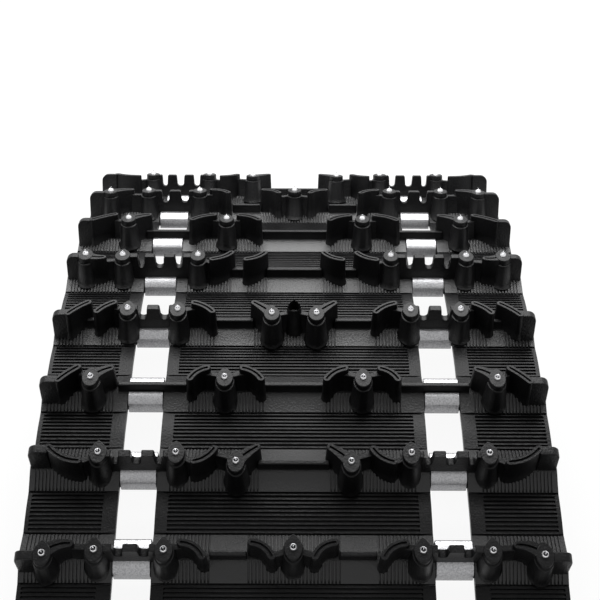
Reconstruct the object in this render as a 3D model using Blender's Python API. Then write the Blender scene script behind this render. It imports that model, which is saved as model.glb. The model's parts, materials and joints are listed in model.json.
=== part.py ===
"""A stretch of studded snowmobile track: eight moulded rubber sections, each with
a cross rod, two guide clips and a row of lugs, joined by flexing rubber hinges."""
import math

import bmesh
import bpy
from mathutils import Matrix, Vector

MM = 0.001

# Belt
BELT_WIDTH = 406.4 * MM
PITCH = 72.64 * MM
ROWS = 8
ROOT_ROW = 4                      # the row that the others hang from
CARCASS = 5.0 * MM                # rubber thickness between the rungs
REST_BEND = math.radians(6.5)     # angle between neighbouring sections at rest
TIGHT_BEND = math.radians(44.4)   # the same angle round the drive sprocket
BACK_BEND = math.radians(8.0)     # the same angle bent the other way
GAP = 0.3 * MM                    # clearance between touching pieces

# Windows and guide clips
WINDOW_CENTRE = 119.4 * MM
WINDOW_WIDTH = 29.0 * MM
WINDOW_LENGTH = 44.6 * MM         # at the inner side of the belt
CLIP_SHEET = 1.2 * MM
CLIP_SIDE_GAP = 0.6 * MM
CLIP_LEAN = 3.0 * MM              # how far the front of a clip leans in towards its top
CLIP_DROP = 1.4 * MM              # how far a clip hangs below the belt
CLIP_LIP = 4.5 * MM               # how far each lip lies over the rung

# Rung and cross rod
RUNG_TOP = 5.5 * MM
RUNG_TOP_LENGTH = 12.0 * MM
RUNG_FOOT_LENGTH = 36.0 * MM
ROD_RADIUS = 3.0 * MM
ROD_INSET = 1.0 * MM

# Lugs: heights are above the belt between the rungs
POST_TOP = 29.0 * MM
ARC_TOP = 28.5 * MM
TOOTH_TOP = 28.2 * MM
WEB_TOP = 23.5 * MM
NOTCH_FLOOR = 16.8 * MM
BAR_TOP = 14.0 * MM
BAR_THICKNESS = 4.8 * MM
WEB_THICKNESS = 5.0 * MM
ARC_THICKNESS = 5.6 * MM
LUG_DRAFT = 1.6 * MM
POST_RADIUS = 7.0 * MM
POST_FOOT_RADIUS = 10.5 * MM
POST_SIDES = 8
ROOT_SINK = 3.0 * MM              # how far a lug's foot reaches into the rung

# Studs
STUD_FLANGE_RADIUS = 4.4 * MM
STUD_FLANGE = 1.0 * MM
STUD_TIP_RADIUS = 1.5 * MM
STUD_TIP = 3.2 * MM
STUD_SHANK_RADIUS = 2.2 * MM
STUD_SHANK = 11.0 * MM
STUD_SIDES = 10
LOOSE_STUD_ROWS = 4               # rows whose studs are pieces of their own here

# Drive lugs on the inner side
DRIVE_LUG_COLUMNS = (84.0 * MM, 156.0 * MM)
DRIVE_LUG_WIDTH = 22.0 * MM
DRIVE_LUG_LENGTH = 26.0 * MM
DRIVE_LUG_HEIGHT = 20.0 * MM
DRIVE_LUG_DRAFT = 4.0 * MM

# One half of each kind of lug row, in millimetres: x from the centreline, y behind the rung's middle.
# studs: a post and its stud. arcs: tall walls from end to end, the first of each pair further out.
# arms: the same, from a post to its tip. webs: lower walls that tie their neighbours together.
# plate: where the row meets the belt's edge, and how far back. comb: kind or None.
LUG_ROWS = (
    {"studs": ((0, -1), (94, -2.7), (144.5, -2.7), (182, -5.5)), "plate": (182, -5.5),
     "arms": ((182, -5.5, 162.6, 2),), "arcs": ((81.7, 3.5, 66, -7), (30.4, 3.5, 15.8, -7)),
     "webs": ((162.6, 2, 144.5, -2.7), (94, -2.7, 81.7, 3.5), (15.8, -7, 0, -1)), "comb": "one_tooth"},
    {"studs": ((43.6, -8), (89.5, -1), (148.5, -1)), "plate": (186.5, 4),
     "arms": ((43.6, -8, 28, 4.5),), "arcs": ((186.5, 4, 163, -7), (75.4, -7, 60.7, 3.5)),
     "webs": ((163, -7, 148.5, -1), (89.5, -1, 75.4, -7), (60.7, 3.5, 43.6, -8)), "comb": "two_teeth"},
    {"studs": ((55, -5.5), (161.4, -5.5)), "plate": (187, -8),
     "arms": ((161.4, -5.5, 146.3, 4),),
     "arcs": ((187, -8, 172.8, 4.5), (82.5, -6.5, 69.5, 4.5), (40.7, 4.5, 26.1, -6.5)),
     "webs": ((172.8, 4.5, 161.4, -5.5), (69.5, 4.5, 55, -5.5), (55, -5.5, 40.7, 4.5)), "comb": None},
    {"studs": ((18.6, -8), (97.5, -3.5), (139.5, -3.5)), "plate": (189, -9),
     "arms": ((18.6, -8, 33.6, 4.5),),
     "arcs": ((189, -9, 173.5, 4.5), (165, -6.5, 152, 4.5), (84.3, 4.5, 68.6, -6.5), (4, 0, -4, 0)),
     "webs": ((152, 4.5, 139.5, -3.5), (97.5, -3.5, 84.3, 4.5), (18.6, -8, 0, 0)), "comb": "one_tooth"},
    {"studs": ((85.5, -1.5), (152.2, -1.5), (185.1, -1)), "plate": (185.1, -1),
     "arms": ((185.1, -1, 169.3, -5),), "arcs": ((72.4, -7, 56.1, 4), (42.3, -7, 26.6, 4)),
     "webs": ((169.3, -5, 152.2, -1.5), (85.5, -1.5, 72.4, -7)), "comb": "two_teeth"},
    {"studs": ((63.5, -5.5), (154.8, -5.5)), "plate": (187, -7),
     "arms": ((154.8, -5.5, 137, 4),),
     "arcs": ((187, -7, 169, 4.5), (93.5, -6.5, 76, 4.5), (51, 4.5, 34, -6.5)),
     "webs": ((169, 4.5, 154.8, -5.5), (76, 4.5, 63.5, -5.5), (63.5, -5.5, 51, 4.5)), "comb": None},
)
# Teeth of each comb, as distances from the window's middle in millimetres
COMB_TEETH = {"one_tooth": ((-4.4, 5.6),), "two_teeth": ((-10.4, -3.4), (5.6, 13.6))}
COMB_REACH = {"one_tooth": 14.0 * MM, "two_teeth": 21.0 * MM}
COMB_LINE = -1.0 * MM             # the comb's middle, behind the rung's middle


def start_empty():
    for old in list(bpy.data.objects):
        bpy.data.objects.remove(old)


def make_collection(name):
    made = bpy.data.collections.new(name)
    bpy.context.scene.collection.children.link(made)
    return made


def make_material(name, colour, roughness, metallic):
    made = bpy.data.materials.new(name)
    made.use_nodes = True
    shader = made.node_tree.nodes["Principled BSDF"]
    shader.inputs["Base Color"].default_value = (*colour, 1.0)
    shader.inputs["Roughness"].default_value = roughness
    shader.inputs["Metallic"].default_value = metallic
    return made


def make_object(name, bm, collection, material=None):
    """Turn a bmesh into a named object."""
    bmesh.ops.recalc_face_normals(bm, faces=bm.faces)
    mesh = bpy.data.meshes.new(name)
    bm.to_mesh(mesh)
    bm.free()
    made = bpy.data.objects.new(name, mesh)
    collection.objects.link(made)
    if material is not None:
        mesh.materials.append(material)
    return made


def hide_guide(guide):
    guide.hide_render = True
    guide.display_type = "WIRE"


def add_boolean(target, operation, guide):
    modifier = target.modifiers.new(guide.name, "BOOLEAN")
    modifier.operation = operation
    modifier.solver = "EXACT"
    modifier.use_self = True
    modifier.object = guide


def add_block(bm, low, high, draft=0.0):
    """A box between two corners, its top narrowed by the draft on every side."""
    size = Vector(high) - Vector(low)
    made = bmesh.ops.create_cube(bm, size=1.0)["verts"]
    bmesh.ops.scale(bm, vec=size, verts=made)
    top = [vert for vert in made if vert.co.z > 0]
    bmesh.ops.scale(bm, vec=(1 - 2 * draft / size.x, 1 - 2 * draft / size.y, 1), verts=top)
    bmesh.ops.translate(bm, vec=(Vector(low) + Vector(high)) / 2, verts=made)
    return made


def add_wall(bm, start, end, thickness, low, high, draft):
    """An upright wall between two points seen from above, wider at its foot."""
    run = Vector(end) - Vector(start)
    half = run.length / 2 + thickness / 2 + draft
    made = add_block(bm, (-half, -thickness / 2 - draft, low), (half, thickness / 2 + draft, high), draft)
    turn = Matrix.Rotation(math.atan2(run.y, run.x), 3, "Z")
    bmesh.ops.rotate(bm, cent=(0, 0, 0), matrix=turn, verts=made)
    middle = (Vector(start) + Vector(end)) / 2
    bmesh.ops.translate(bm, vec=(middle.x, middle.y, 0), verts=made)


def add_post(bm, x, y, radius, foot_radius, low, high):
    """An upright round post, wider at its foot."""
    made = bmesh.ops.create_cone(bm, cap_ends=True, segments=POST_SIDES, radius1=foot_radius,
                                 radius2=radius, depth=high - low)["verts"]
    bmesh.ops.translate(bm, vec=(x, y, (low + high) / 2), verts=made)


def extrude_profile(bm, profile, left, right):
    """A closed outline in Y and Z, carried across the belt from left to right."""
    outline = [bm.verts.new((left, y, z)) for y, z in profile]
    face = bm.faces.new(outline)
    grown = bmesh.ops.extrude_face_region(bm, geom=[face])["geom"]
    moved = [item for item in grown if isinstance(item, bmesh.types.BMVert)]
    bmesh.ops.translate(bm, vec=(right - left, 0, 0), verts=moved)


def stud_places(kind):
    """Where the studs of one kind of row stand, left to right."""
    half = [(x * MM, y * MM) for x, y in LUG_ROWS[kind]["studs"]]
    left = [(-x, y) for x, y in half if x > 0]
    return sorted(half + left)


def row_slope(row):
    """Slope of a section at rest: the front rows climb and the rear rows fall."""
    return REST_BEND * ((ROWS + 1) / 2 - row)


def hinge_points():
    """The neutral line's hinges in Y and Z, the first and last being the cut ends."""
    points = [Vector((0.0, 0.0))]
    for row in range(1, ROWS + 1):
        slope = row_slope(row)
        points.append(points[-1] + PITCH * Vector((math.cos(slope), math.sin(slope))))
    middle = (points[0] + points[-1]) / 2
    return [point - Vector((middle.x, 0)) for point in points]


def lowest_point(points):
    """Height of the lowest corner of the belt and its drive lugs."""
    lows = []
    for row in range(1, ROWS + 1):
        slope = row_slope(row)
        middle = (points[row - 1] + points[row]) / 2
        tip_half = DRIVE_LUG_LENGTH / 2 - DRIVE_LUG_DRAFT
        tip_depth = CARCASS / 2 + DRIVE_LUG_HEIGHT
        lows.append(middle.y - tip_half * abs(math.sin(slope)) - tip_depth * math.cos(slope))
        under = CARCASS / 2 * math.cos(slope)
        lows.append(min(points[row - 1].y, points[row].y) - under)
    return min(lows)


def make_row_frames(collection):
    """One empty for each section, on the hinge that it turns about."""
    points = hinge_points()
    lift = -lowest_point(points)
    frames = {}
    for row in range(1, ROWS + 1):
        if row < ROOT_ROW:
            place, back = points[row], -1
        elif row > ROOT_ROW:
            place, back = points[row - 1], 1
        else:
            place, back = (points[row - 1] + points[row]) / 2, 0
        empty = bpy.data.objects.new(f"row_{row}_frame", None)
        empty.location = (0, place.x, place.y + lift)
        empty.rotation_euler = (row_slope(row), 0, 0)
        empty.empty_display_size = PITCH / 2
        collection.objects.link(empty)
        frames[row] = (empty, Vector((0, back * PITCH / 2, CARCASS / 2)))
    return frames


def seat(piece, frame, place=(0, 0, 0)):
    """Parent a piece to its row's empty, at a place measured from the row's rung."""
    empty, offset = frame
    piece.parent = empty
    piece.location = offset + Vector(place)


def rung_reach(end):
    """How far the rung reaches inside a clip, at its top and its underside: end is -1 ahead, 1 behind."""
    under = (PITCH - WINDOW_LENGTH) / 2 - CLIP_SHEET - GAP
    return (under - CLIP_LEAN, under) if end < 0 else (under, under)


def make_belt(name, collection, material):
    """The flat carcass and the rung. Each end is a blunt edge that lets the belt bend."""
    reach = PITCH / 2 - GAP / 2
    under = CARCASS / 2 * math.tan(TIGHT_BEND / 2) + GAP / 2
    over = CARCASS / 2 * math.tan(BACK_BEND / 2) + GAP / 2
    half_foot, half_top = RUNG_FOOT_LENGTH / 2, RUNG_TOP_LENGTH / 2
    rear = [(half_top, RUNG_TOP), (half_foot, 0), (reach - over, 0), (reach, -CARCASS / 2),
            (reach - under, -CARCASS)]
    front = [(-y, z) for y, z in reversed(rear)]
    bm = bmesh.new()
    extrude_profile(bm, rear + front, -BELT_WIDTH / 2, BELT_WIDTH / 2)
    return make_object(name, bm, collection, material)


def add_comb(bm, side, comb):
    """The low web over a window, with its teeth."""
    low = RUNG_TOP - ROOT_SINK
    reach = COMB_REACH[comb]
    front = COMB_LINE - WEB_THICKNESS / 2 - LUG_DRAFT
    back = COMB_LINE + WEB_THICKNESS / 2 + LUG_DRAFT
    ends = sorted((side * (WINDOW_CENTRE - reach), side * (WINDOW_CENTRE + reach)))
    add_block(bm, (ends[0], front, low), (ends[1], back, NOTCH_FLOOR), LUG_DRAFT / 2)
    for start, end in COMB_TEETH[comb]:
        edges = sorted((side * (WINDOW_CENTRE + start * MM), side * (WINDOW_CENTRE + end * MM)))
        add_block(bm, (edges[0] - LUG_DRAFT / 2, front, low),
                  (edges[1] + LUG_DRAFT / 2, back, TOOTH_TOP), LUG_DRAFT / 2)


def add_half_row(bm, kind, side):
    """The arcs, arms, webs, end plate and comb of one half of a row."""
    row = LUG_ROWS[kind]
    low = RUNG_TOP - ROOT_SINK
    for walls, thickness, top in ((row["arcs"] + row["arms"], ARC_THICKNESS, ARC_TOP),
                                  (row["webs"], WEB_THICKNESS, WEB_TOP)):
        for x, y, end_x, end_y in walls:
            start, end = (side * x * MM, y * MM), (side * end_x * MM, end_y * MM)
            add_wall(bm, start, end, thickness, low, top, LUG_DRAFT)
    if row["comb"] is not None:
        add_comb(bm, side, row["comb"])
    x, y = row["plate"]
    edge = BELT_WIDTH / 2 - WEB_THICKNESS / 2 - LUG_DRAFT
    add_wall(bm, (side * edge, y * MM), (side * x * MM, y * MM), WEB_THICKNESS, low, ARC_TOP - LUG_DRAFT,
             LUG_DRAFT)


def make_lug_row(name, kind, studs_joined, collection):
    """Everything that stands on one rung, and the studs where they aren't separate."""
    low = RUNG_TOP - ROOT_SINK
    bm = bmesh.new()
    bar = BAR_THICKNESS / 2 + LUG_DRAFT
    across = BELT_WIDTH / 2 - LUG_DRAFT / 2
    add_block(bm, (-across, -bar, low), (across, bar, BAR_TOP), LUG_DRAFT)
    for side in (-1, 1):
        add_half_row(bm, kind, side)
    for x, y in stud_places(kind):
        add_post(bm, x, y, POST_RADIUS, POST_FOOT_RADIUS, low, POST_TOP)
        if studs_joined:
            sink = POST_TOP - ROOT_SINK
            flange = POST_TOP + STUD_FLANGE
            add_post(bm, x, y, STUD_FLANGE_RADIUS, STUD_FLANGE_RADIUS, sink, flange)
            add_post(bm, x, y, STUD_TIP_RADIUS / 3, STUD_TIP_RADIUS, sink, flange + STUD_TIP)
    return make_object(name, bm, collection)


def make_drive_lugs(name, collection):
    """The blunt teeth inside the track, which the sprockets push."""
    bm = bmesh.new()
    for side in (-1, 1):
        for column in DRIVE_LUG_COLUMNS:
            half_width, half_length = DRIVE_LUG_WIDTH / 2, DRIVE_LUG_LENGTH / 2
            made = add_block(bm, (-half_width, -half_length, 0),
                             (half_width, half_length, DRIVE_LUG_HEIGHT + ROOT_SINK), DRIVE_LUG_DRAFT)
            over = Matrix.Rotation(math.pi, 3, "X")
            bmesh.ops.rotate(bm, cent=(0, 0, 0), matrix=over, verts=made)
            bmesh.ops.translate(bm, vec=(side * column, 0, ROOT_SINK - CARCASS), verts=made)
    return make_object(name, bm, collection)


def make_section_cuts(name, kind, studs_joined, collection):
    """The half windows with a seat for the clips' lips, the rod's bore and the studs' holes."""
    bm = bmesh.new()
    tall = POST_TOP + CARCASS
    floor = RUNG_TOP - GAP
    for side in (-1, 1):
        edges = sorted(side * (WINDOW_CENTRE + half) for half in (-WINDOW_WIDTH / 2, WINDOW_WIDTH / 2))
        for end in (-1, 1):
            top, under = rung_reach(end)
            lip = top - CLIP_LIP
            slope = [(under, -tall), (under, -CARCASS), (top, floor), (lip, floor), (lip, tall),
                     (PITCH, tall), (PITCH, -tall)]
            extrude_profile(bm, [(end * y, z) for y, z in slope], *edges)
    bore = bmesh.ops.create_cone(bm, cap_ends=True, segments=12, radius1=ROD_RADIUS + GAP,
                                 radius2=ROD_RADIUS + GAP, depth=BELT_WIDTH * 2)["verts"]
    bmesh.ops.rotate(bm, cent=(0, 0, 0), matrix=Matrix.Rotation(math.pi / 2, 3, "Y"), verts=bore)
    bmesh.ops.translate(bm, vec=(0, 0, (RUNG_TOP - CARCASS) / 2), verts=bore)
    if not studs_joined:
        hole = STUD_SHANK_RADIUS + GAP
        for x, y in stud_places(kind):
            add_post(bm, x, y, hole, hole, POST_TOP - STUD_SHANK - GAP, POST_TOP + STUD_SHANK)
    return make_object(name, bm, collection)


def make_section(row, frame, parts, guides, material):
    """One pitch of the track, moulded in one piece."""
    kind = (row - 1) % len(LUG_ROWS)
    studs_joined = row > LOOSE_STUD_ROWS
    section = make_belt(f"belt_section_{row}", parts, material)
    seat(section, frame)
    lugs = make_lug_row(f"row_{row}_lugs", kind, studs_joined, guides)
    drive = make_drive_lugs(f"row_{row}_drive_lugs", guides)
    cuts = make_section_cuts(f"row_{row}_cuts", kind, studs_joined, guides)
    for guide, operation in ((lugs, "UNION"), (drive, "UNION"), (cuts, "DIFFERENCE")):
        seat(guide, frame)
        hide_guide(guide)
        add_boolean(section, operation, guide)


def make_rod(row, frame, parts, material):
    """The stiff rod inside the rung."""
    bm = bmesh.new()
    bmesh.ops.create_cone(bm, cap_ends=True, segments=12, radius1=ROD_RADIUS, radius2=ROD_RADIUS,
                          depth=BELT_WIDTH - 2 * ROD_INSET)
    bmesh.ops.rotate(bm, cent=(0, 0, 0), matrix=Matrix.Rotation(math.pi / 2, 3, "Y"), verts=bm.verts)
    rod = make_object(f"cross_rod_{row}", bm, parts, material)
    rod.data.shade_smooth()
    rod.data.set_sharp_from_angle(angle=math.radians(40))
    seat(rod, frame, (0, 0, (RUNG_TOP - CARCASS) / 2))


def make_clip(row, side, frame, parts, material):
    """Sheet steel bent under and round the rung, with a lip over it before and behind the lugs."""
    over, under = RUNG_TOP, -CARCASS - CLIP_DROP
    inside, outside = [], []
    for end in (-1, 1):
        top, foot = (reach + GAP for reach in rung_reach(end))
        lip = top - CLIP_LIP
        inner = [(end * lip, over), (end * top, over), (end * foot, -CARCASS), (end * foot, under)]
        outer = [(end * lip, over + CLIP_SHEET), (end * (top + CLIP_SHEET), over + CLIP_SHEET),
                 (end * (foot + CLIP_SHEET), -CARCASS), (end * (foot + CLIP_SHEET), under - CLIP_SHEET)]
        inside += inner if end < 0 else reversed(inner)
        outside += outer if end < 0 else reversed(outer)
    ring = outside + list(reversed(inside))
    bm = bmesh.new()
    half_width = WINDOW_WIDTH / 2 - CLIP_SIDE_GAP
    extrude_profile(bm, ring, -half_width, half_width)
    name = f"guide_clip_{row}_{'left' if side < 0 else 'right'}"
    clip = make_object(name, bm, parts, material)
    seat(clip, frame, (side * WINDOW_CENTRE, 0, 0))


def make_stud(row, number, place, frame, parts, material):
    """A turned steel stud with a pointed tip, its flange on the lug and its shank in the rubber."""
    flange = GAP + STUD_FLANGE
    profile = ((STUD_TIP_RADIUS / 3, flange + STUD_TIP), (STUD_TIP_RADIUS, flange),
               (STUD_FLANGE_RADIUS, flange), (STUD_FLANGE_RADIUS, GAP), (STUD_SHANK_RADIUS, GAP),
               (STUD_SHANK_RADIUS, -STUD_SHANK))
    bm = bmesh.new()
    rim = [bm.verts.new((radius, 0, z)) for radius, z in profile]
    for above, below in zip(rim, rim[1:]):
        bm.edges.new((above, below))
    bmesh.ops.spin(bm, geom=bm.verts[:] + bm.edges[:], cent=(0, 0, 0), axis=(0, 0, 1),
                   angle=2 * math.pi, steps=STUD_SIDES, use_merge=True)
    bmesh.ops.remove_doubles(bm, verts=bm.verts, dist=0.00001)
    bmesh.ops.holes_fill(bm, edges=[edge for edge in bm.edges if edge.is_boundary], sides=0)
    stud = make_object(f"stud_{row}_{number}", bm, parts, material)
    stud.data.shade_smooth()
    stud.data.set_sharp_from_angle(angle=math.radians(30))
    seat(stud, frame, (place[0], place[1], POST_TOP))


def build():
    start_empty()
    parts = make_collection("studded snowmobile track")
    guides = make_collection("lugs and cutters")
    rubber = make_material("moulded_rubber", (0.018, 0.018, 0.019), 0.55, 0.0)
    fibreglass = make_material("fibreglass", (0.55, 0.50, 0.36), 0.45, 0.0)
    clip_steel = make_material("clip_steel", (0.62, 0.63, 0.65), 0.35, 1.0)
    stud_steel = make_material("stud_steel", (0.55, 0.55, 0.57), 0.30, 1.0)
    frames = make_row_frames(parts)
    for row in range(1, ROWS + 1):
        frame = frames[row]
        make_section(row, frame, parts, guides, rubber)
        make_rod(row, frame, parts, fibreglass)
        for side in (-1, 1):
            make_clip(row, side, frame, parts, clip_steel)
        if row <= LOOSE_STUD_ROWS:
            kind = (row - 1) % len(LUG_ROWS)
            for number, place in enumerate(stud_places(kind), start=1):
                make_stud(row, number, place, frame, parts, stud_steel)


build()
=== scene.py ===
import json
import math

import bmesh
import bpy
from mathutils import Matrix, Vector


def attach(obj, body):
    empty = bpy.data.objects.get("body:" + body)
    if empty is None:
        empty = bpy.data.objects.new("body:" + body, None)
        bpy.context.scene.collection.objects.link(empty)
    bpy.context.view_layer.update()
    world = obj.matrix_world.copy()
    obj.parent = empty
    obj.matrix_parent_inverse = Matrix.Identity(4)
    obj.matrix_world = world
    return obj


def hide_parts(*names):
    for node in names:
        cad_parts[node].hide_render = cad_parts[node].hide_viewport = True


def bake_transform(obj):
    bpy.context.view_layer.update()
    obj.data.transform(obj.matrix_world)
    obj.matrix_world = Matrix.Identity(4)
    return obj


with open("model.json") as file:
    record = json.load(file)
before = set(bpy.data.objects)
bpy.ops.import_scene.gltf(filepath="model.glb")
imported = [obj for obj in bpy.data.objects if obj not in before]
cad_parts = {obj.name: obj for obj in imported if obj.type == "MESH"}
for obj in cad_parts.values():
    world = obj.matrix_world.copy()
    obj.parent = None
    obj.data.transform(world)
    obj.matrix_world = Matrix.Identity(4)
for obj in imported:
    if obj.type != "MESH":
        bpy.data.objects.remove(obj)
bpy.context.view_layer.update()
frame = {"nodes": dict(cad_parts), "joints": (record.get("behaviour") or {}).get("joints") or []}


# The run of the belt
# The track is an endless band moulded flat in one pitch after another. This stretch of eight pitches
# lies arched, so each row of lugs has its own place and slope. Sizes are in millimetres in the row's
# own frame: x across the belt, y behind the middle of the row, z above the panels between the rows.
MM = 0.001
PITCH = 72.64
CARCASS = 5.0
BELT_EDGE = 203.0
WINDOW_INNER = 104.9
WINDOW_OUTER = 133.9

hinges = [Vector(joint["pos_m"]) for joint in sorted(frame["joints"], key=lambda joint: joint["name"])]


def direction(slope):
    """One pitch along a row of this slope, in metres."""
    return Vector((0, math.cos(slope), math.sin(slope))) * PITCH * MM


slopes = [math.atan2((b - a).z, (b - a).y) for a, b in zip(hinges, hinges[1:])]
bend = (slopes[0] - slopes[-1]) / (len(slopes) - 1)
slopes = [slopes[0] + bend] + slopes + [slopes[-1] - bend]
ends = [hinges[0] - direction(slopes[0])] + hinges + [hinges[-1] + direction(slopes[-1])]
rows = range(1, len(slopes) + 1)


def row_place(row):
    """From millimetres in a row's frame to the place of that row."""
    middle = (ends[row - 1] + ends[row]) / 2
    return (Matrix.Translation(middle) @ Matrix.Rotation(slopes[row - 1], 4, "X") @ Matrix.Scale(MM, 4)
            @ Matrix.Translation((0, 0, CARCASS / 2)))


# Camera
# It looks along the belt from the low front end, from well above it.
CAMERA_BACK = 0.88874
CAMERA_RISE = 0.73471
CAMERA_PITCH = math.radians(36.723)
CAMERA_ROLL = math.radians(0.2)

camera_data = bpy.data.cameras.new("camera")
camera_data.sensor_width = 36
camera_data.lens = 76.1
camera_data.shift_x = 0.0097
camera = bpy.data.objects.new("camera", camera_data)
camera.location = (0, -CAMERA_BACK, ends[0].z + CAMERA_RISE)
camera.rotation_euler = (Matrix.Rotation(math.pi / 2 - CAMERA_PITCH, 3, "X")
                         @ Matrix.Rotation(CAMERA_ROLL, 3, "Z")).to_euler()
bpy.context.scene.collection.objects.link(camera)
bpy.context.scene.camera = camera


# Rows of lugs
# Each row is one moulding of hard black rubber: a low rung across the belt, posts that carry the
# studs, tall curved walls with a slot along the top, low bars, end plates, and over each window a
# comb of short teeth. The rung's slopes are finely ribbed, and four drive lugs stand on the inner side.
RUBBER = (0.0035, 0.0035, 0.0038, 1)
RUBBER_WORN = (0.008, 0.008, 0.0084, 1)


def start_material(name):
    """A new material, with its node tree and its shader."""
    material = bpy.data.materials.new(name)
    material.use_nodes = True
    tree = material.node_tree
    return material, tree, tree.nodes["Principled BSDF"]


def add_place(tree):
    """The object's own coordinates, in metres."""
    return tree.nodes.new("ShaderNodeTexCoord").outputs["Object"]


def add_noise(tree, place, scale, detail):
    """A noise pattern over the given coordinates."""
    noise = tree.nodes.new("ShaderNodeTexNoise")
    noise.inputs["Scale"].default_value = scale
    noise.inputs["Detail"].default_value = detail
    tree.links.new(place, noise.inputs["Vector"])
    return noise.outputs["Fac"]


def add_tone(tree, pattern, shader, dark, pale):
    """The base colour runs from dark to pale with the pattern. Each is a place on the ramp and a colour."""
    tone = tree.nodes.new("ShaderNodeValToRGB")
    for stop, (position, colour) in zip(tone.color_ramp.elements, (dark, pale)):
        stop.position = position
        stop.color = colour
    tree.links.new(pattern, tone.inputs["Fac"])
    tree.links.new(tone.outputs["Color"], shader.inputs["Base Color"])


def add_range(tree, value, low, high, target):
    """The target runs from low to high while the value goes from 0 to 1."""
    span = tree.nodes.new("ShaderNodeMapRange")
    span.inputs["To Min"].default_value = low
    span.inputs["To Max"].default_value = high
    tree.links.new(value, span.inputs["Value"])
    tree.links.new(span.outputs["Result"], target)


def add_bump(tree, pattern, shader, strength, distance):
    """The pattern raises the surface by up to the distance, in metres."""
    bump = tree.nodes.new("ShaderNodeBump")
    bump.inputs["Strength"].default_value = strength
    bump.inputs["Distance"].default_value = distance
    tree.links.new(pattern, bump.inputs["Height"])
    tree.links.new(bump.outputs["Normal"], shader.inputs["Normal"])


def rubber_material():
    """Satin moulded rubber with a fine grain, faint paler patches and a shinier skin on the rungs."""
    material, tree, shader = start_material("black_rubber")
    place = add_place(tree)
    patches = add_noise(tree, place, 45, 6)
    add_tone(tree, patches, shader, (0.35, RUBBER), (0.75, RUBBER_WORN))
    add_range(tree, patches, 0.34, 0.46, shader.inputs["Roughness"])
    sheen = tree.nodes.new("ShaderNodeAttribute")
    sheen.attribute_name = "sheen"
    add_range(tree, sheen.outputs["Fac"], 0.14, 0.40, shader.inputs["Specular IOR Level"])
    add_bump(tree, add_noise(tree, place, 620, 5), shader, 0.7, 0.0006)
    return material


rubber = rubber_material()


def finish_mesh(bm, name, material, sharp=35):
    """Weld, face outwards, shade smooth between sharp edges, and make the object."""
    bmesh.ops.remove_doubles(bm, verts=bm.verts, dist=0.5e-6)
    bmesh.ops.recalc_face_normals(bm, faces=bm.faces)
    for face in bm.faces:
        face.smooth = True
    for edge in bm.edges:
        edge.smooth = edge.calc_face_angle(0) < math.radians(sharp)
    mesh = bpy.data.meshes.new(name)
    bm.to_mesh(mesh)
    bm.free()
    mesh.materials.append(material)
    piece = bpy.data.objects.new(name, mesh)
    bpy.context.scene.collection.objects.link(piece)
    return piece


def verts_of(items):
    """The vertices among the items that an operator gave back."""
    return [item for item in items if isinstance(item, bmesh.types.BMVert)]


def edges_of(items, verts):
    """The edges among the items that lie wholly on the given vertices."""
    return [item for item in items if isinstance(item, bmesh.types.BMEdge)
            and all(vert in verts for vert in item.verts)]


def join(bm, part):
    """Add one shape to the row's mesh."""
    mesh = bpy.data.meshes.new("part")
    part.to_mesh(mesh)
    part.free()
    bm.from_mesh(mesh)
    bpy.data.meshes.remove(mesh)


# The rung's height by distance from its middle, and the fine ribs that run down its slopes
RUNG_SHAPE = ((0, 6.2), (3.0, 5.9), (5.0, 5.3), (7.0, 4.6), (9.0, 3.8), (11.0, 3.0), (13.0, 2.3),
              (15.0, 1.6), (17.0, 0.95), (18.6, 0.5), (18.9, 0), (30, 0))
SKIN_EDGE = 21.4
GROOVE = 19.4
GROOVE_DEPTH = 1.6
RIB_PITCH = 2.7
RIB_DEPTH = 1.3
RIB_TOP = 4.5                    # the ribs start this far from the rung's middle
GROOVE_ZONES = ((-199.9, -144.8), (-95.4, 95.4), (144.8, 199.9))
SKIN_LINES = (-21.4, -20.3, -19.9, -18.9, -18.6, -17.0, -15.0, -13.0, -11.0, -9.0, -7.0, -5.0, -3.0, 0)


def rung_height(y):
    """The rung's top, rounded over and eased down to the flat panel."""
    for (near, high), (far, low) in zip(RUNG_SHAPE, RUNG_SHAPE[1:]):
        if abs(y) <= far:
            return high + (low - high) * (abs(y) - near) / (far - near)


def rib_lines(low, high, plain):
    """Places across the belt, with how deep each is cut between the ribs."""
    lines = []
    count = round((high - low) / RIB_PITCH)
    for index in range(count):
        x = low + (high - low) * index / count
        cut = 0 if any(a < abs(x) < b for a, b in plain) else 1
        lines += [(x, 0), (x + 0.25, cut), (x + 1.15, cut), (x + 1.4, 0)]
    return lines


def make_skin(low, high, plain):
    """The rung and the panel beside it, from one window or edge to the next."""
    zone = [zone for zone in GROOVE_ZONES if low < zone[0] and zone[1] < high][0]
    across = [(low, 0)] + rib_lines(*zone, plain) + [(zone[1], 0), (high, 0)]
    along = list(SKIN_LINES) + [-y for y in reversed(SKIN_LINES[:-1])]
    last_x, last_y = len(across) - 1, len(along) - 1
    skin = bmesh.new()
    bmesh.ops.create_grid(skin, x_segments=last_x, y_segments=last_y, size=0.5)
    for vert in skin.verts:
        x, cut = across[round((vert.co.x + 0.5) * last_x)]
        y = along[round((vert.co.y + 0.5) * last_y)]
        z = rung_height(y)
        if RIB_TOP < abs(y) < GROOVE:
            z = max(z - RIB_DEPTH * cut, -GROOVE_DEPTH)
        if abs(abs(y) - GROOVE) < 0.6 and zone[0] <= x <= zone[1]:
            z = -GROOVE_DEPTH
        vert.co = (x, y, z)
    rim = [edge for edge in skin.edges if edge.is_boundary]
    grown = bmesh.ops.extrude_edge_only(skin, edges=rim)["geom"]
    for vert in verts_of(grown):
        vert.co.z = -CARCASS
    bmesh.ops.edgeloop_fill(skin, edges=[item for item in grown
                                         if isinstance(item, bmesh.types.BMEdge) and item.is_boundary])
    return skin


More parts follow.
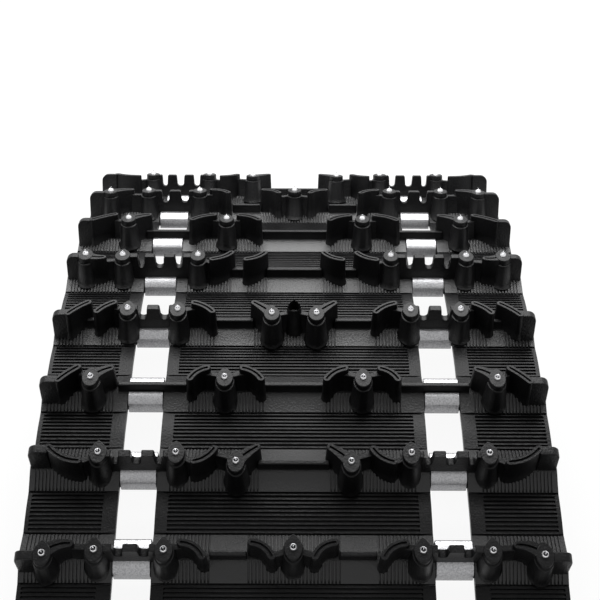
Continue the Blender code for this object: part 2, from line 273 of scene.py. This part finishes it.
def make_box(low, high, draft=0.0, bevel=0.6, segments=2):
    """A block from corner to corner, drawn in by draft towards its top, with its upper edges rounded."""
    box = bmesh.new()
    bmesh.ops.create_cube(box, size=1)
    for vert in box.verts:
        inset = draft if vert.co.z > 0 else 0
        insets = (inset, inset, 0)
        vert.co = [high[axis] - insets[axis] if vert.co[axis] > 0 else low[axis] + insets[axis]
                   for axis in range(3)]
    edges = [edge for edge in box.edges if max(end.co.z for end in edge.verts) > low[2] + 1e-4]
    bmesh.ops.bevel(box, geom=edges, offset=bevel, offset_type="OFFSET", segments=segments, profile=0.5,
                    affect="EDGES", material=-1)
    return box


# Half sections from the middle outwards and down: distance from the middle, height
ARC_SECTION = ((0, 26.7), (0.55, 26.7), (0.7, 28.2), (0.95, 28.5), (2.6, 28.5), (2.9, 28.2), (3.0, 27.4),
               (3.6, 12.0), (3.9, 6.0), (4.6, 2.5), (0, 2.5))
WEB_SECTION = ((0, 23.5), (1.9, 23.5), (2.3, 23.1), (2.4, 22.2), (3.4, 6.0), (4.0, 2.5), (0, 2.5))
ARM_FLARE = 3.0
TURN_STEPS = 7
RUN_STEPS = 6


def make_wall(start, end, bow, section, flare=0.0):
    """A wall with round ends swept from start to end, bowed towards the rear and flared at its start."""
    run = Vector((end[0] - start[0], end[1] - start[1], 0))
    chord = run.length
    height = max(abs(bow), 0.02)
    radius = chord * chord / (8 * height) + height / 2
    half_angle = math.asin(chord / 2 / radius)
    length = 2 * radius * half_angle
    wall = bmesh.new()
    chain = [wall.verts.new((0, -offset, z)) for offset, z in section]
    edges = [wall.edges.new(pair) for pair in zip(chain, chain[1:])]
    for centre, step in ((0, length / RUN_STEPS), (length, -length / RUN_STEPS)):
        verts = list({vert for edge in edges for vert in edge.verts})
        spun = bmesh.ops.spin(wall, geom=verts + edges, cent=(centre, 0, 0), axis=(0, 0, 1), angle=-math.pi,
                              steps=TURN_STEPS)["geom_last"]
        edges = [item for item in spun if isinstance(item, bmesh.types.BMEdge)]
        for _ in range(RUN_STEPS):
            grown = bmesh.ops.extrude_edge_only(wall, edges=edges)["geom"]
            moved = verts_of(grown)
            edges = edges_of(grown, moved)
            bmesh.ops.translate(wall, vec=(step, 0, 0), verts=moved)
    bmesh.ops.remove_doubles(wall, verts=wall.verts, dist=1e-3)
    side = (1 if run.x > 0 else -1) * (1 if bow >= 0 else -1)
    for vert in wall.verts:
        outer = min(max((abs(vert.co.y) - 0.95) / 1.65, 0), 1)
        vert.co.y += math.copysign(flare * outer * (1 - min(max(vert.co.x / length, 0), 1)), vert.co.y)
        angle = (vert.co.x - length / 2) / radius
        reach = radius + side * vert.co.y
        vert.co.x = reach * math.sin(angle) + chord / 2
        vert.co.y = side * (reach * math.cos(angle) - radius * math.cos(half_angle))
    wall.transform(Matrix.Translation((start[0], start[1], 0))
                   @ Matrix.Rotation(math.atan2(run.y, run.x), 4, "Z"))
    return wall


# A post's outline at each level: height, half width, how far it reaches ahead and behind the stud
POST_LEVELS = ((29.0, 6.0, 9.0, 9.2), (28.8, 6.5, 9.5, 9.8), (28.2, 6.85, 9.9, 10.2), (24.7, 6.95, 10.0, 10.3),
               (24.3, 6.4, 9.4, 9.9), (24.1, 7.0, 10.0, 10.0), (23.7, 7.6, 11.0, 10.3), (23.0, 7.8, 11.3, 10.5),
               (6.0, 9.1, 14.2, 11.0), (3.4, 10.2, 15.4, 11.6), (2.5, 10.6, 15.9, 12.0))
POST_TAIL = 0.52


def make_post(x, y):
    """A drafted column with an overhanging cap, drawn to a blunt point behind the stud."""
    post = bmesh.new()
    bmesh.ops.create_circle(post, cap_ends=True, segments=28, radius=1)
    level, width, ahead, behind = POST_LEVELS[0]
    for vert in post.verts:
        pinch = 1 - POST_TAIL * max(vert.co.y, 0) ** 2
        vert.co = (vert.co.x * pinch * width, vert.co.y * (behind if vert.co.y > 0 else ahead), level)
    edges = post.edges[:]
    for next_level, next_width, next_ahead, next_behind in POST_LEVELS[1:]:
        grown = bmesh.ops.extrude_edge_only(post, edges=edges)["geom"]
        ring = verts_of(grown)
        edges = edges_of(grown, ring)
        for vert in ring:
            vert.co.x *= next_width / width
            vert.co.y *= next_behind / behind if vert.co.y > 0 else next_ahead / ahead
            vert.co.z = next_level
        width, ahead, behind = next_width, next_ahead, next_behind
    bmesh.ops.edgeloop_fill(post, edges=edges)
    bmesh.ops.translate(post, verts=post.verts, vec=(x, y, 0))
    return post


# One half of each kind of row. posts: a stud's place. arms: from a post to the tip, and the bow.
# arcs: tall walls from end to end, and the bow. webs: lower walls between neighbours. bars: low bars
# from x to x. plate: where the end plate starts. notches: the gaps in the comb over the window.
KINDS = (
    {"posts": ((0, -0.8), (94, -2.7), (144.5, -2.7), (181.8, -5.7)),
     "arms": ((181.8, -5.7, 162.6, 1.9, 2.2),),
     "arcs": ((81.7, 3.1, 66, -7.1, 2.6), (30.4, 3.4, 15.8, -7.1, 2.6)),
     "webs": ((164, 1.5, 144.5, 0.5), (94, 0, 81.7, 2), (16.5, -5.5, 0, 0)),
     "bars": ((34, 62),), "plate": (184, -6.8), "notches": ((105.0, 113.0), (124.2, 131.6))},
    {"posts": ((43.6, -7.9), (89.3, -0.5), (148.3, -0.5)),
     "arms": ((43.6, -7.9, 28, 4.8, 0.6),),
     "arcs": ((186.3, 3.9, 163.1, -7.4, -2.8), (75.4, -7.4, 60.7, 3.4, -2.0)),
     "webs": ((163, -6, 148.3, 0.5), (89.3, 0.5, 75.4, -6.0), (60.7, 2.5, 43.6, -3.0)),
     "bars": ((-1, 28),), "plate": (187, 2.5), "notches": ((99.2, 105.8), (115.8, 123.6), (133.0, 138.6))},
    {"posts": ((55, -5.8), (161.4, -5.8)),
     "arms": ((161.4, -5.8, 146.3, 4.0, 1.4),),
     "arcs": ((187.1, -8.5, 172.8, 5.1, 0.6), (82.5, -6.4, 69.5, 4.5, 2.0), (40.7, 4.5, 26.1, -6.4, 2.0)),
     "webs": ((172.8, 3.6, 161.4, -2.5), (69.5, 3.2, 55, -0.5), (55, -0.5, 40.7, 3.2)),
     "bars": ((86, 142), (-1, 24)), "plate": (188, -7.5), "notches": ()},
    {"posts": ((18.6, -8.9), (97.5, -4.4), (139.5, -3.7)),
     "arms": ((18.6, -8.9, 33.6, 4.9, 0.6),),
     "arcs": ((188.8, -9.4, 173.5, 4.9, 0.8), (164.9, -6.8, 151.9, 4.9, 1.2), (84.3, 4.9, 68.6, -6.2, 1.6)),
     "webs": ((152, 3.6, 139.5, -0.5), (97.5, -1.0, 84.3, 3.2), (18.6, -6.0, 0, -1.0)),
     "bars": ((34, 66), (164, 176)), "plate": (189, -8.0), "notches": ((105.4, 113.2), (123.8, 131.0))},
    {"posts": ((85.5, -1.5), (152.2, -1.5), (185.1, -0.7)),
     "arms": ((185.1, -0.7, 169.3, -4.6, -1.8),),
     "arcs": ((72.4, -7.1, 56.1, 4.0, -2.0), (42.3, -7.1, 26.6, 4.0, -2.0)),
     "webs": ((169.3, -3.6, 152.2, -0.5), (85.5, -0.5, 72.4, -5.6), (152.2, 0, 140, 0)),
     "bars": ((44, 56), (-1, 25)), "plate": (186, -0.7),
     "notches": ((99.2, 105.8), (115.8, 123.6), (133.0, 138.6))},
    {"posts": ((63.5, -5.8), (155, -5.8)),
     "arms": ((155, -5.8, 137, 4.0, 1.4),),
     "arcs": ((188.8, -8.0, 169, 4.6, 0.8), (95.3, -6.4, 76, 4.5, 2.0), (51.8, 4.5, 33.5, -6.4, 2.0)),
     "webs": ((169, 3.2, 155, -2.5), (76, 3.2, 63.5, -0.5), (63.5, -0.5, 51.8, 3.2)),
     "bars": ((94, 140), (-1, 32)), "plate": (189, -7.0), "notches": ()},
)
BAR_FRONT, BAR_BACK, BAR_TOP = -2.6, 2.2, 14.0
COMB_FRONT, COMB_BACK = -4.2, 1.8
COMB_ENDS = (92.0, 147.0)
TOOTH_TOP = 28.2
NOTCH_SIDE = ((1.3, 28.2), (1.06, 27.4), (1.0, 26.0), (0.86, 19.0), (0.6, 17.4), (0.25, 16.8))
ROOT = 2.5
PLATE_TOP = 28.2
PLATE_CORNER = 6.5
ARC_TOP = 28.5
KEYED_POST = 18.6
TOOTH_PLAN = (5.4, 5.6, 8.6)     # half width, reach ahead and reach behind
TOOTH_MIDDLE = -0.8
WELL_RIM = 1.3
WELL_DEPTH = 10
PLATE_HALF = 3.6
PLATE_FOOT = 4.8
COMB_DRAFT = 0.42
CORE_HEIGHT = 3.9
CORE_TOP, CORE_UNDER = 9.2, 12.2
DRIVE_LUGS = (84.0, 156.0)
DRIVE_LUG_HALF = (11, 13)
DRIVE_LUG_DEPTH = 20.0
DRIVE_LUG_DRAFT = (0.36, 0.3)


def make_comb(notches):
    """A wall over the window with round-bottomed notches cut down into it."""
    comb = bmesh.new()
    outline = [(COMB_ENDS[0], ROOT), (COMB_ENDS[0], TOOTH_TOP)]
    for low, high in notches:
        middle, half = (low + high) / 2, (high - low) / 2
        for across, height in NOTCH_SIDE:
            outline.append((middle - half * across, height))
        for across, height in reversed(NOTCH_SIDE):
            outline.append((middle + half * across, height))
    outline += [(COMB_ENDS[1], TOOTH_TOP), (COMB_ENDS[1], ROOT)]
    face = comb.faces.new([comb.verts.new((x, COMB_FRONT, z)) for x, z in outline])
    grown = bmesh.ops.extrude_face_region(comb, geom=[face], use_keep_orig=True)["geom"]
    bmesh.ops.translate(comb, vec=(0, COMB_BACK - COMB_FRONT, 0), verts=verts_of(grown))
    bmesh.ops.recalc_face_normals(comb, faces=comb.faces)
    rims = [edge for edge in comb.edges if len({round(vert.co.y, 3) for vert in edge.verts}) == 1
            and min(vert.co.z for vert in edge.verts) > ROOT]
    bmesh.ops.bevel(comb, geom=rims, offset=0.5, offset_type="OFFSET", segments=2, profile=0.5,
                    affect="EDGES", material=-1)
    for vert in comb.verts:
        spread = (TOOTH_TOP - vert.co.z) / (TOOTH_TOP - ROOT)
        vert.co.y += max(vert.co.y - (COMB_FRONT + COMB_BACK) / 2, 0) * COMB_DRAFT * spread
    return comb


def make_plate(x, y):
    """The end plate from the outermost wall to the belt's edge, with its outer top corner well rounded."""
    plate = bmesh.new()
    bmesh.ops.create_cube(plate, size=1)
    high = BELT_EDGE - 0.6
    for vert in plate.verts:
        thick = PLATE_HALF if vert.co.z > 0 else PLATE_FOOT
        vert.co = (high if vert.co.x > 0 else x, y + (thick if vert.co.y > 0 else -thick),
                   PLATE_TOP if vert.co.z > 0 else ROOT)
    corner = [edge for edge in plate.edges
              if all(vert.co.x > x + 1 and vert.co.z > ROOT + 1 for vert in edge.verts)]
    bmesh.ops.bevel(plate, geom=corner, offset=PLATE_CORNER, offset_type="OFFSET", segments=6, profile=0.5,
                    affect="EDGES", material=-1)
    rims = [edge for edge in plate.edges if max(vert.co.z for vert in edge.verts) > ROOT + 1
            and edge.calc_face_angle(0) > 1]
    bmesh.ops.bevel(plate, geom=rims, offset=0.9, offset_type="OFFSET", segments=2, profile=0.5,
                    affect="EDGES", material=-1)
    return plate


def add_half(bm, kind):
    """The lugs of the right half of one row."""
    for x, y in kind["posts"]:
        if x > 0:
            join(bm, make_post(x, y))
    for x, y, end_x, end_y, bow in kind["arms"]:
        join(bm, make_wall((x, y), (end_x, end_y), bow, ARC_SECTION, ARM_FLARE))
    for x, y, end_x, end_y, bow in kind["arcs"]:
        join(bm, make_wall((x, y), (end_x, end_y), bow, ARC_SECTION))
    for x, y, end_x, end_y in kind["webs"]:
        join(bm, make_wall((x, y), (end_x, end_y), 0, WEB_SECTION))
    for low, high in kind["bars"]:
        join(bm, make_box((low, BAR_FRONT, ROOT), (high, BAR_BACK, BAR_TOP), 0.3, 1.0, 3))
    if kind["notches"]:
        join(bm, make_comb(kind["notches"]))
    x, y = kind["plate"]
    join(bm, make_plate(x, y))
    half_x, half_y = DRIVE_LUG_HALF
    draft_x, draft_y = DRIVE_LUG_DRAFT
    for column in DRIVE_LUGS:
        lug = make_box((-half_x, -half_y, -DRIVE_LUG_DEPTH), (half_x, half_y, 0.5), 0, 1.4)
        for vert in lug.verts:
            part = max(0, -vert.co.z / DRIVE_LUG_DEPTH)
            vert.co = (column + vert.co.x * (1 - draft_x * part), vert.co.y * (1 - draft_y * part),
                       vert.co.z - CARCASS)
        join(bm, lug)


def make_hollow_tooth():
    """The tooth on the centreline between two close posts, with a well sunk in its top."""
    tooth = bmesh.new()
    bmesh.ops.create_circle(tooth, cap_ends=True, segments=24, radius=1)
    wide, ahead, behind = TOOTH_PLAN
    for vert in tooth.verts:
        pinch = 1 - 0.5 * max(vert.co.y, 0) ** 1.6
        vert.co = (vert.co.x * pinch * wide, vert.co.y * (behind if vert.co.y > 0 else ahead), ARC_TOP)
    rim = tooth.edges[:]
    lid = tooth.faces[:]
    bmesh.ops.inset_region(tooth, faces=lid, thickness=WELL_RIM, use_even_offset=True)
    sunk = bmesh.ops.extrude_face_region(tooth, geom=lid)["geom"]
    bmesh.ops.translate(tooth, vec=(0, 0, -WELL_DEPTH), verts=verts_of(sunk))
    bmesh.ops.delete(tooth, geom=[face for face in lid if face.is_valid], context="FACES_ONLY")
    for level, grow in ((28.0, 1.05), (27.0, 1.03), (ROOT, 1.6)):
        grown = bmesh.ops.extrude_edge_only(tooth, edges=rim)["geom"]
        ring = verts_of(grown)
        rim = edges_of(grown, ring)
        for vert in ring:
            vert.co = (vert.co.x * grow, vert.co.y * grow, level)
    bmesh.ops.edgeloop_fill(tooth, edges=rim)
    bmesh.ops.translate(tooth, vec=(0, TOOTH_MIDDLE, 0), verts=tooth.verts)
    return tooth


# The rung's front slope, which has the shinier skin
SHEEN_TOP, SHEEN_FRONT, SHEEN_BACK = 7, -19, -2

for row in rows:
    kind = KINDS[(row - 1) % len(KINDS)]
    bm = bmesh.new()
    add_half(bm, kind)
    join(bm, make_skin(WINDOW_OUTER, BELT_EDGE, kind["bars"]))
    core = make_box((WINDOW_INNER - 1, -CORE_UNDER, -CARCASS), (WINDOW_OUTER + 1, CORE_UNDER, CORE_HEIGHT),
                    0, 0.3)
    for vert in core.verts:
        part = (vert.co.z + CARCASS) / (CORE_HEIGHT + CARCASS)
        vert.co.y *= 1 - (1 - CORE_TOP / CORE_UNDER) * part
    join(bm, core)
    bmesh.ops.mirror(bm, geom=bm.verts[:] + bm.edges[:] + bm.faces[:], axis="X", merge_dist=1e-5)
    join(bm, make_skin(-WINDOW_INNER, WINDOW_INNER, kind["bars"]))
    if kind["posts"][0][0] == 0:
        join(bm, make_post(*kind["posts"][0]))
    if kind["posts"][0][0] == KEYED_POST:
        join(bm, make_hollow_tooth())
    sheen = bm.verts.layers.float.new("sheen")
    for vert in bm.verts:
        shiny = 0 <= vert.co.z < SHEEN_TOP and SHEEN_FRONT < vert.co.y < SHEEN_BACK
        vert[sheen] = 1 if shiny else 0
    bm.transform(row_place(row))
    lugs = finish_mesh(bm, f"rubber_row_{row}", rubber)
    evened = lugs.modifiers.new("even_faces", "WEIGHTED_NORMAL")
    evened.keep_sharp = True
    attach(lugs, f"row_{row}")
    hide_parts(f"belt_section_{row}")


# Panels between the rows
# The belt between two rows is a thinner sheet of the same rubber over cloth plies. Its outer face has
# fine grooves across it, with plain margins along the windows, and it takes all of the bending.
BAND_HALF = PITCH / 2 - SKIN_EDGE
BAND_GROOVES = 10
LAND_EDGE = 1.0
FLOOR_EDGE = 0.75


def band_lines(reach):
    """Places along the belt with the groove's depth, from one row to the next or to a cut end."""
    span = PITCH - 2 * GROOVE
    lines = [(-BAND_HALF, 0)]
    for index in range(1, BAND_GROOVES):
        y = -span / 2 + span * index / BAND_GROOVES
        lines += [(y - LAND_EDGE, 0), (y - FLOOR_EDGE, 1), (y + FLOOR_EDGE, 1), (y + LAND_EDGE, 0)]
    lines.append((BAND_HALF, 0))
    return [(y, cut) for y, cut in lines if y < reach - 0.5] + [(reach, 0)]


def make_band(name, low, high, reach, place):
    """One sheet between two windows or edges. place puts a point of the flat sheet where it belongs."""
    bm = bmesh.new()
    zone = [zone for zone in GROOVE_ZONES if low < zone[0] and zone[1] < high][0]
    across = [(low, 0), (zone[0], 0), (zone[0] + 0.7, 1), (zone[1] - 0.7, 1), (zone[1], 0), (high, 0)]
    along = band_lines(reach)
    last_x, last_y = len(across) - 1, len(along) - 1
    bmesh.ops.create_grid(bm, x_segments=last_x, y_segments=last_y, size=0.5)
    for vert in bm.verts:
        x, zoned = across[round((vert.co.x + 0.5) * last_x)]
        y, cut = along[round((vert.co.y + 0.5) * last_y)]
        vert.co = (x, y, -GROOVE_DEPTH * zoned * cut)
    under = bmesh.ops.extrude_face_region(bm, geom=bm.faces[:], use_keep_orig=True)["geom"]
    for vert in verts_of(under):
        vert.co.z = -CARCASS
    for vert in bm.verts:
        vert.co = place(vert.co)
    return finish_mesh(bm, name, rubber)


def bent_place(joint):
    """Between two rows the sheet turns smoothly about the line midway between them."""
    hinge, slope = hinges[joint], slopes[joint]

    def place(point):
        part = min(max((point.y + BAND_HALF) / (2 * BAND_HALF), 0), 1)
        turn = slope - (slope - slopes[joint + 1]) * part * part * (3 - 2 * part)
        flat = Vector((point.x, point.y, point.z + CARCASS / 2)) * MM
        return hinge + Matrix.Rotation(turn, 3, "X") @ flat

    return place


STRETCHES = (("left", -BELT_EDGE, -WINDOW_OUTER), ("middle", -WINDOW_INNER, WINDOW_INNER),
             ("right", WINDOW_OUTER, BELT_EDGE))
for joint in range(len(hinges)):
    row = joint + 1
    start = row_place(row) @ Vector((0, SKIN_EDGE, -CARCASS / 2))
    end = row_place(row + 1) @ Vector((0, -SKIN_EDGE, -CARCASS / 2))
    for side, low, high in STRETCHES:
        band = make_band(f"panel_{row}_{row + 1}_{side}", low, high, BAND_HALF, bent_place(joint))
        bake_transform(band)

CUT_END = 0.6


def cut_place(row, facing):
    """Past an end row the sheet runs on flat for half a pitch, less the cut."""
    def place(point):
        return row_place(row) @ Vector((point.x, facing * (point.y + PITCH / 2), point.z))

    return place


for row, facing in ((rows[0], -1), (rows[-1], 1)):
    for side, low, high in STRETCHES:
        band = make_band(f"panel_end_{row}_{side}", low, high, -CUT_END, cut_place(row, facing))
        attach(band, f"row_{row}")


# Guide clips
# A clip of galvanised sheet steel is bent round the rung in each window, for the slide rail to run on.
# Its lips lie over the rung before and behind the lugs.
CLIP_COLUMN = 119.4
CLIP_HALF = 13.9
SHEET = 1.2
# The outer face, from the front lip over the shoulder, down, under, and up to the rear lip: y, height
CLIP_PATH = ((-3.4, 7.3), (-6.0, 7.0), (-8.0, 6.1), (-10.3, 4.2), (-12.2, 2.4), (-12.9, 1.3), (-13.6, -5.4),
             (-13.6, -6.4), (-13.2, -7.3), (-12.2, -7.6), (12.2, -7.6), (13.2, -7.3), (13.7, -6.4),
             (13.8, -5.0), (14.1, 2.8), (13.7, 4.4), (12.6, 5.4), (10.6, 6.2), (4.6, 7.0))


def steel_material(name, dark, pale, smooth, rough, grain_scale, grain_depth):
    """Zinc-grey steel, mottled and finely grained."""
    material, tree, shader = start_material(name)
    place = add_place(tree)
    shader.inputs["Metallic"].default_value = 1
    mottle = add_noise(tree, place, grain_scale, 5)
    add_tone(tree, mottle, shader, (0.3, dark), (0.7, pale))
    add_range(tree, mottle, smooth, rough, shader.inputs["Roughness"])
    add_bump(tree, add_noise(tree, place, grain_scale, 2), shader, 0.5, grain_depth)
    return material


clip_steel = steel_material("galvanised_steel", (0.22, 0.22, 0.225, 1), (0.40, 0.40, 0.41, 1), 0.32, 0.46,
                            900, 0.0004)
for row in rows:
    for side, facing in (("left", -1), ("right", 1)):
        bm = bmesh.new()
        chain = [bm.verts.new((-CLIP_HALF, y, z)) for y, z in CLIP_PATH]
        edges = [bm.edges.new(pair) for pair in zip(chain, chain[1:])]
        grown = bmesh.ops.extrude_edge_only(bm, edges=edges)["geom"]
        bmesh.ops.translate(bm, vec=(2 * CLIP_HALF, 0, 0), verts=verts_of(grown))
        bm.normal_update()
        if sum(face.normal.y * face.calc_center_median().y for face in bm.faces) < 0:
            bmesh.ops.reverse_faces(bm, faces=bm.faces)
        bmesh.ops.solidify(bm, geom=bm.faces[:], thickness=SHEET)
        bmesh.ops.translate(bm, verts=bm.verts, vec=(facing * CLIP_COLUMN, 0, 0))
        bm.transform(row_place(row))
        clip = finish_mesh(bm, f"clip_{row}_{side}", clip_steel, 50)
        rounding = clip.modifiers.new("rounding", "BEVEL")
        rounding.width = 0.35 * MM
        rounding.segments = 2
        rounding.limit_method = "ANGLE"
        rounding.angle_limit = math.radians(60)
        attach(clip, f"row_{row}")
        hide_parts(f"guide_clip_{row}_{side}")


# Studs
# Each post carries a turned steel stud pressed into it: a crown with a dished face and, in its middle,
# a hard pointed pin.
STUD_TOP = 29.0
STUD_SECTION = ((0, 4.0), (0.3, 3.8), (0.6, 2.2), (0.65, -0.6), (1.5, -0.8), (1.7, 1.7), (1.95, 2.0),
                (2.35, 1.6), (2.8, 0.5), (2.95, -0.2), (2.2, -0.3), (2.2, -9.0), (0, -9.0))
STUD_STEPS = 20

stud_steel = steel_material("bright_steel", (0.62, 0.62, 0.63, 1), (0.85, 0.85, 0.86, 1), 0.22, 0.36,
                            2200, 0.0001)
for row in rows:
    half = KINDS[(row - 1) % len(KINDS)]["posts"]
    places = sorted(set(half) | {(-x, y) for x, y in half if x > 0})
    for index, (x, y) in enumerate(places, start=1):
        bm = bmesh.new()
        chain = [bm.verts.new((r, 0, z)) for r, z in STUD_SECTION]
        edges = [bm.edges.new(pair) for pair in zip(chain, chain[1:])]
        bmesh.ops.spin(bm, geom=chain + edges, cent=(0, 0, 0), axis=(0, 0, 1), angle=2 * math.pi,
                       steps=STUD_STEPS, use_merge=True)
        bmesh.ops.remove_doubles(bm, verts=bm.verts, dist=1e-4)
        bmesh.ops.translate(bm, verts=bm.verts, vec=(x, y, STUD_TOP))
        bm.transform(row_place(row))
        stud = finish_mesh(bm, f"stud_row_{row}_{index}", stud_steel)
        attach(stud, f"row_{row}")
        if f"stud_{row}_{index}" in frame["nodes"]:
            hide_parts(f"stud_{row}_{index}")


# Cross rods
# A rod of pultruded glass fibre lies inside each rung and keeps the belt stiff from edge to edge.
def fibreglass_material():
    """Resin with pale glass strands that run along the rod."""
    material, tree, shader = start_material("glass_fibre")
    shader.inputs["Roughness"].default_value = 0.5
    stretch = tree.nodes.new("ShaderNodeMapping")
    stretch.inputs["Scale"].default_value = (6, 1400, 1400)
    tree.links.new(add_place(tree), stretch.inputs["Vector"])
    strands = add_noise(tree, stretch.outputs["Vector"], 1, 4)
    add_tone(tree, strands, shader, (0.3, (0.40, 0.35, 0.22, 1)), (0.7, (0.62, 0.57, 0.42, 1)))
    return material


fibreglass = fibreglass_material()
for row in rows:
    rod = frame["nodes"][f"cross_rod_{row}"]
    rod.data.materials.clear()
    rod.data.materials.append(fibreglass)


# Studio
# A plain pale floor under the track and one soft box above and behind it, under a pale sky.
FLOOR_GLOW = 0.92
LIGHT_ON_PART = 0.16


def add_seen(tree):
    """1 for rays that see the surroundings from the camera, by reflection or through glass."""
    ray = tree.nodes.new("ShaderNodeLightPath")
    seen = ray.outputs["Is Camera Ray"]
    for kind in ("Is Glossy Ray", "Is Transmission Ray"):
        either = tree.nodes.new("ShaderNodeMath")
        either.operation = "MAXIMUM"
        tree.links.new(seen, either.inputs[0])
        tree.links.new(ray.outputs[kind], either.inputs[1])
        seen = either.outputs["Value"]
    return seen


def pale_material():
    """A white floor that keeps a soft shadow."""
    material, tree, shader = start_material("pale_floor")
    shader.inputs["Base Color"].default_value = (0.85, 0.85, 0.85, 1)
    shader.inputs["Roughness"].default_value = 0.9
    shader.inputs["Specular IOR Level"].default_value = 0
    share = tree.nodes.new("ShaderNodeMath")
    share.operation = "MULTIPLY"
    share.inputs[1].default_value = FLOOR_GLOW
    tree.links.new(add_seen(tree), share.inputs[0])
    glow = tree.nodes.new("ShaderNodeEmission")
    mix = tree.nodes.new("ShaderNodeMixShader")
    tree.links.new(share.outputs["Value"], mix.inputs["Fac"])
    tree.links.new(shader.outputs["BSDF"], mix.inputs[1])
    tree.links.new(glow.outputs["Emission"], mix.inputs[2])
    tree.links.new(mix.outputs["Shader"], tree.nodes["Material Output"].inputs["Surface"])
    return material


bm = bmesh.new()
bmesh.ops.create_grid(bm, x_segments=1, y_segments=1, size=6)
floor_mesh = bpy.data.meshes.new("floor")
bm.to_mesh(floor_mesh)
bm.free()
floor_mesh.materials.append(pale_material())
floor = bpy.data.objects.new("floor", floor_mesh)
floor.location.z = -0.001
bpy.context.scene.collection.objects.link(floor)


def soft_box(name, place, aim, size, watts):
    """A flat lamp at place, turned towards aim."""
    data = bpy.data.lights.new(name, "AREA")
    data.shape = "RECTANGLE"
    data.size, data.size_y = size
    data.energy = watts
    lamp = bpy.data.objects.new(name, data)
    lamp.location = place
    lamp.rotation_euler = (Vector(aim) - Vector(place)).to_track_quat("-Z", "Y").to_euler()
    bpy.context.scene.collection.objects.link(lamp)


soft_box("rear_box", (0, 0.54, 0.68), (0, 0.53, 0), (1.1, 1.02), 27)

world = bpy.data.worlds.new("studio")
world.use_nodes = True
bpy.context.scene.world = world
sky = world.node_tree.nodes["Background"]
sky.inputs["Color"].default_value = (1, 1, 1, 1)
add_range(world.node_tree, add_seen(world.node_tree), LIGHT_ON_PART, 1.0, sky.inputs["Strength"])

bpy.context.scene.view_settings.view_transform = "Standard"
